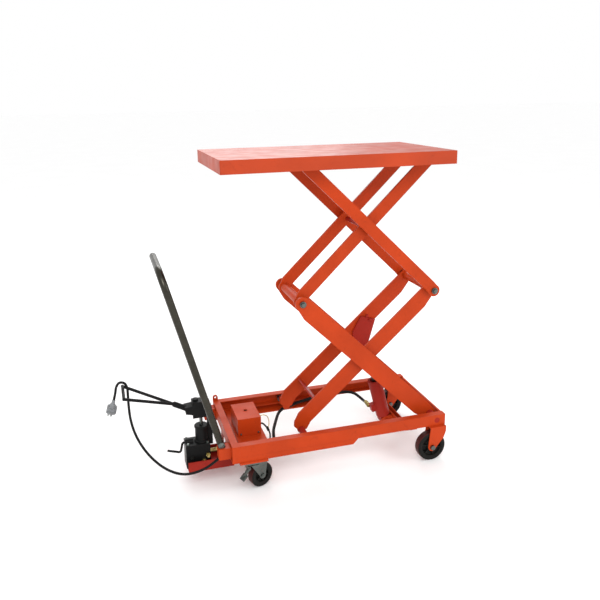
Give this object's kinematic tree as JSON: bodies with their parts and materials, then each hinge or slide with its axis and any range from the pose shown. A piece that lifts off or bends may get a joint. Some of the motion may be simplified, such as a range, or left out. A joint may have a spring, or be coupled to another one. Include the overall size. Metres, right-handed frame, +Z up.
{
  "type": "scissor lift table",
  "caption": "Double scissor lift table on wheels, with a foot pump, a bent tube push handle and a mains lead.",
  "frame": {"origin": "on the floor, under the centre of the whole machine's box without the mains lead", "axes": "+Z up, +X away from the push handle, -Y the near side, where the mains lead leaves"},
  "size_m": [1.3671, 0.5, 1.3],
  "materials": {
    "black_paint": "satin",
    "black_plastic": "matte",
    "black_rubber": "matte",
    "brass_fitting": "satin",
    "dark_red_paint": "satin",
    "grey_plug": "gloss",
    "handle_steel": "satin",
    "maroon_wheel": "satin",
    "orange_paint": "satin",
    "platform_paint": "satin",
    "shaft_steel": "satin",
    "zinc_steel": "satin"
  },
  "bodies": {
    "base": {"base_rail_near": "orange_paint", "base_rail_far": "orange_paint", "cross_members": "orange_paint", "side_rails": "orange_paint", "box_shelf": "orange_paint", "caster_mounting_plates": "orange_paint", "wheel_brackets": "orange_paint", "wheel_axles": "zinc_steel", "cylinder_beam": "orange_paint", "base_pivot_shaft": "dark_red_paint", "caster_top_plates": "zinc_steel", "push_handle": "handle_steel", "handle_sockets": "orange_paint", "handle_bolts": "zinc_steel", "pump_bracket": "dark_red_paint", "pump_body": "black_paint", "pump_fittings": "brass_fitting", "power_box": "orange_paint", "power_unit": "black_plastic", "service_lines": "black_rubber", "cord_gland": "black_plastic", "mains_cord": "black_rubber"},
    "lower_outer": {"lower_outer_arm_near": "orange_paint", "lower_outer_arm_far": "orange_paint", "left_mid_shaft": "shaft_steel", "lower_centre_shaft": "dark_red_paint"},
    "lower_inner": {"lower_inner_arm_near": "orange_paint", "lower_inner_arm_far": "orange_paint", "right_mid_tube": "orange_paint", "right_mid_shaft": "shaft_steel", "lower_roller_pins": "dark_red_paint", "lower_inner_cross_plate": "dark_red_paint", "cylinder_bracket": "dark_red_paint"},
    "upper_inner": {"upper_inner_arm_near": "orange_paint", "upper_inner_arm_far": "orange_paint", "left_mid_tube": "orange_paint", "upper_centre_shaft": "dark_red_paint"},
    "upper_outer": {"upper_outer_arm_near": "orange_paint", "upper_outer_arm_far": "orange_paint", "upper_roller_shaft": "shaft_steel"},
    "platform": {"platform_top": "platform_paint", "platform_tracks": "platform_paint", "top_pivot_shaft": "shaft_steel"},
    "lower_roller_pair": {"lower_rollers": "shaft_steel"},
    "upper_roller_pair": {"upper_rollers": "shaft_steel"},
    "barrel": {"cylinder_barrel": "dark_red_paint"},
    "rod": {"cylinder_rod": "zinc_steel"},
    "wheel_near": {"fixed_wheel_near": "maroon_wheel"},
    "wheel_far": {"fixed_wheel_far": "maroon_wheel"},
    "swivel_near": {"caster_fork_near": "zinc_steel"},
    "swivel_far": {"caster_fork_far": "zinc_steel"},
    "caster_roll_near": {"caster_wheel_near": "maroon_wheel"},
    "caster_roll_far": {"caster_wheel_far": "maroon_wheel"},
    "brake_near": {"caster_brake_near": "zinc_steel"},
    "brake_far": {"caster_brake_far": "zinc_steel"},
    "pedal": {"pump_yoke": "black_paint", "pump_pedal": "black_paint", "mains_plug": "grey_plug"},
    "plunger": {"pump_plunger": "zinc_steel"},
    "release": {"release_lever": "black_paint"}
  },
  "joints": [
    {"name": "scissor_fold", "type": "hinge", "parent": "base", "child": "lower_outer", "pos_m": [0.614, 0, 0.174], "axis": [0, -1, 0], "range_deg": [0, 38.13]},
    {"name": "lower_centre_pivot", "type": "hinge", "parent": "lower_outer", "child": "lower_inner", "pos_m": [0.3315, 0, 0.448], "axis": [0, -1, 0], "range_deg": [-76.36, 0.1]},
    {"name": "left_mid_pivot", "type": "hinge", "parent": "lower_outer", "child": "upper_inner", "pos_m": [0.049, 0, 0.722], "axis": [0, -1, 0], "range_deg": [-76.36, 0.1]},
    {"name": "right_mid_pivot", "type": "hinge", "parent": "lower_inner", "child": "upper_outer", "pos_m": [0.614, 0, 0.722], "axis": [0, -1, 0], "range_deg": [-0.1, 76.36]},
    {"name": "top_pivot", "type": "hinge", "parent": "upper_inner", "child": "platform", "pos_m": [0.614, 0, 1.27], "axis": [0, -1, 0], "range_deg": [-0.1, 38.23]},
    {"name": "cylinder_foot_pivot", "type": "hinge", "parent": "base", "child": "barrel", "pos_m": [0.471, 0, 0.1], "axis": [0, -1, 0], "range_deg": [-0.1, 68.7]},
    {"name": "rod_eye_pivot", "type": "hinge", "parent": "lower_inner", "child": "rod", "pos_m": [0.39764, 0, 0.37981], "axis": [0, -1, 0], "range_deg": [-0.1, 106.83]},
    {"name": "lower_roller_spin", "type": "hinge", "parent": "lower_inner", "child": "lower_roller_pair", "pos_m": [0.049, 0, 0.174], "axis": [0, 1, 0], "continuous": true},
    {"name": "upper_roller_spin", "type": "hinge", "parent": "upper_outer", "child": "upper_roller_pair", "pos_m": [0.049, 0, 1.27], "axis": [0, 1, 0], "continuous": true},
    {"name": "fixed_wheel_spin_near", "type": "hinge", "parent": "base", "child": "wheel_near", "pos_m": [0.588, -0.207, 0.0625], "axis": [0, 1, 0], "continuous": true},
    {"name": "caster_swivel_near", "type": "hinge", "parent": "base", "child": "swivel_near", "pos_m": [-0.171, -0.19, 0.1], "axis": [0, 0, 1], "continuous": true},
    {"name": "caster_spin_near", "type": "hinge", "parent": "swivel_near", "child": "caster_roll_near", "pos_m": [-0.14469, -0.18042, 0.05], "axis": [-0.342, 0.9397, 0], "continuous": true},
    {"name": "brake_near", "type": "hinge", "parent": "swivel_near", "child": "brake_near", "pos_m": [-0.19731, -0.19958, 0.096], "axis": [-0.342, 0.9397, 0], "range_deg": [-6, 0]},
    {"name": "fixed_wheel_spin_far", "type": "hinge", "parent": "base", "child": "wheel_far", "pos_m": [0.588, 0.207, 0.0625], "axis": [0, 1, 0], "continuous": true},
    {"name": "caster_swivel_far", "type": "hinge", "parent": "base", "child": "swivel_far", "pos_m": [-0.171, 0.19, 0.1], "axis": [0, 0, 1], "continuous": true},
    {"name": "caster_spin_far", "type": "hinge", "parent": "swivel_far", "child": "caster_roll_far", "pos_m": [-0.14469, 0.19958, 0.05], "axis": [-0.342, 0.9397, 0], "continuous": true},
    {"name": "brake_far", "type": "hinge", "parent": "swivel_far", "child": "brake_far", "pos_m": [-0.19731, 0.18042, 0.096], "axis": [-0.342, 0.9397, 0], "range_deg": [-6, 0]},
    {"name": "pedal_press", "type": "hinge", "parent": "base", "child": "pedal", "pos_m": [-0.318, -0.035, 0.29], "axis": [0, -1, 0], "range_deg": [0, 26], "stiffness_Nm_per_rad": 20, "springref_deg": -20.05},
    {"name": "plunger_slide", "type": "slide", "parent": "base", "child": "plunger", "axis": [0, 0, -1], "range_m": [0, 0.0152]},
    {"name": "release_turn", "type": "hinge", "parent": "base", "child": "release", "pos_m": [-0.411, -0.035, 0.153], "axis": [1, 0, 0], "range_deg": [0, 40]}
  ],
  "couplings": [
    {"joint": "lower_centre_pivot", "follows": "scissor_fold", "ratio": -2},
    {"joint": "left_mid_pivot", "follows": "scissor_fold", "ratio": -2},
    {"joint": "right_mid_pivot", "follows": "scissor_fold", "ratio": 2},
    {"joint": "top_pivot", "follows": "scissor_fold", "ratio": 1},
    {"joint": "cylinder_foot_pivot", "follows": "scissor_fold", "ratio": 1.799},
    {"joint": "rod_eye_pivot", "follows": "scissor_fold", "ratio": 2.799},
    {"joint": "plunger_slide", "follows": "pedal_press", "m_per_rad": 0.033}
  ]
}
